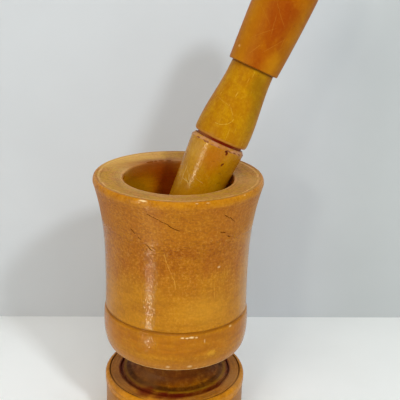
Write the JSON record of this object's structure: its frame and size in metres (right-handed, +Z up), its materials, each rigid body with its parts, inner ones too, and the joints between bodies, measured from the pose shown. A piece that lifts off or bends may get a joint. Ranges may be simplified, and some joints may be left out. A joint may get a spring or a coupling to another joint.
{
  "type": "mortar and pestle",
  "caption": "Turned wooden mortar with a flared cup on a round foot, and a pestle with a tapered head, waisted collar and hand grip that lifts out of the bowl for muddling and crushing.",
  "frame": {"origin": "centre of the foot's flat underside, on the mortar's turning axis", "axes": "+Z up along the mortar's turning axis; the pestle leans towards +X in the XZ plane"},
  "size_m": [0.135, 0.1, 0.2852],
  "materials": {
    "cup_wood": "amber varnish, worn",
    "foot_wood": "amber varnish, worn",
    "head_wood": "yellow varnish, worn",
    "collar_wood": "yellow varnish, worn",
    "grip_wood": "orange varnish, worn",
    "dowel_wood": "bare"
  },
  "bodies": {
    "mortar": {"mortar_cup": "cup_wood", "mortar_foot": "foot_wood"},
    "pestle": {"pestle_head": "head_wood", "pestle_collar": "collar_wood", "pestle_grip": "grip_wood", "pestle_dowel": "dowel_wood"}
  },
  "joints": [
    {"name": "pestle_lift", "type": "slide", "parent": "mortar", "child": "pestle", "axis": [0.4147, 0, 0.91], "range_m": [0, 0.11]}
  ]
}
